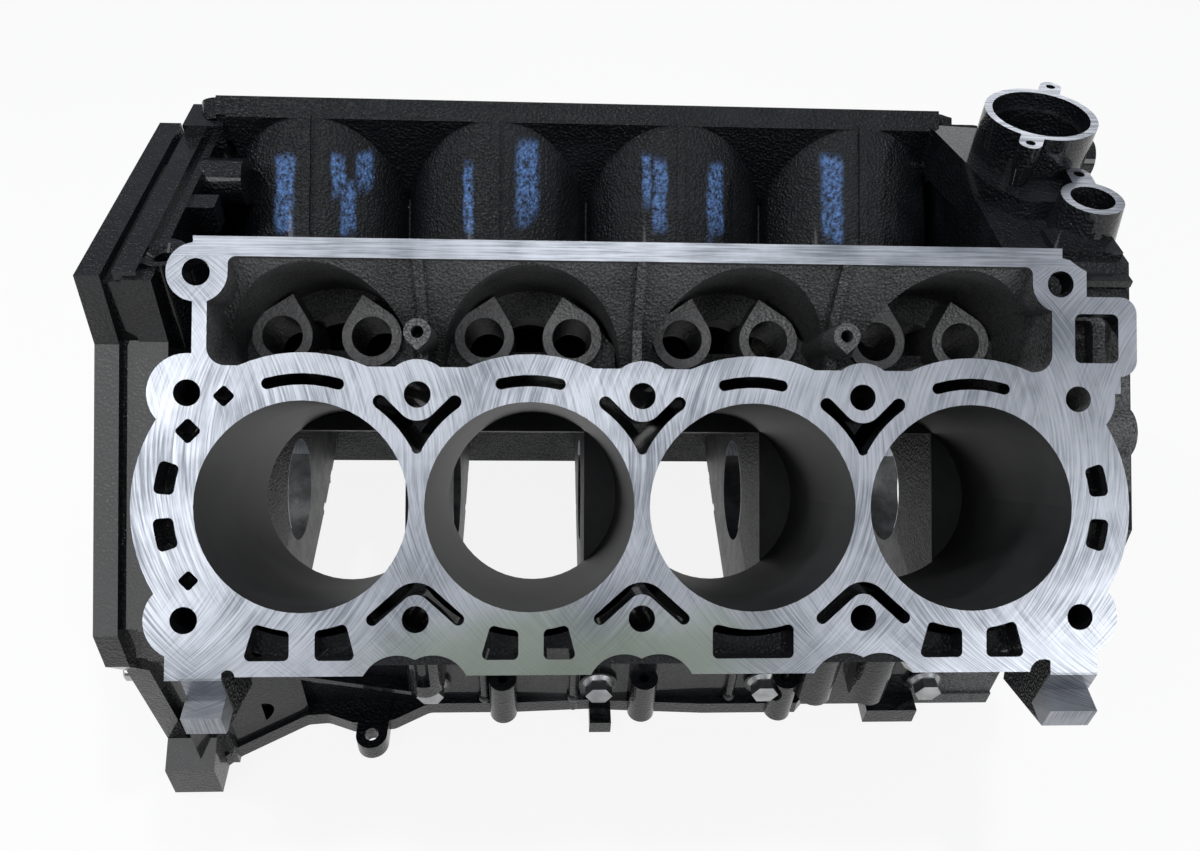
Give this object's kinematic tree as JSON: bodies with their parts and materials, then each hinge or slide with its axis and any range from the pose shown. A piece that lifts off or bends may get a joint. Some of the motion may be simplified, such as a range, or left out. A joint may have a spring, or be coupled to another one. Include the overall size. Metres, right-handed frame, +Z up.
{
  "type": "engine block",
  "caption": "Vee engine cylinder block in black-painted cast iron with bright machined decks, main caps, camshaft bearings and plugs fitted.",
  "frame": {"origin": "on the crankshaft axis, at the middle of the centre main bearing", "axes": "+X along the crankshaft towards the timing end, +Z up, away from the sump rail; the near bank lies towards -Y"},
  "size_m": [0.585, 0.496, 0.377],
  "materials": {
    "block": "gloss black paint over grainy cast iron, machined faces bare and bright, galleries unpainted",
    "cap": "raw casting with milled edges",
    "bearing": "smooth bright lining",
    "plug": "pressed steel, dull",
    "dowel": "ground",
    "bolt": "zinc-plated, slightly dull"
  },
  "bodies": {
    "root": {"cylinder_block": "block", "main_cap_1": "cap", "main_cap_2": "cap", "main_cap_3": "cap", "main_cap_4": "cap", "main_cap_5": "cap", "cam_bearing_1": "bearing", "cam_bearing_2": "bearing", "cam_bearing_3": "bearing", "cam_bearing_4": "bearing", "cam_bearing_5": "bearing", "main_cap_inner_bolts": "bolt", "main_cap_outer_bolts": "bolt", "main_cap_dowels": "dowel", "side_bolts": "bolt", "core_plugs": "plug", "cam_plug": "plug", "gallery_plugs": "plug", "flywheel_end_dowels": "dowel", "timing_end_dowels": "dowel"}
  },
  "joints": []
}
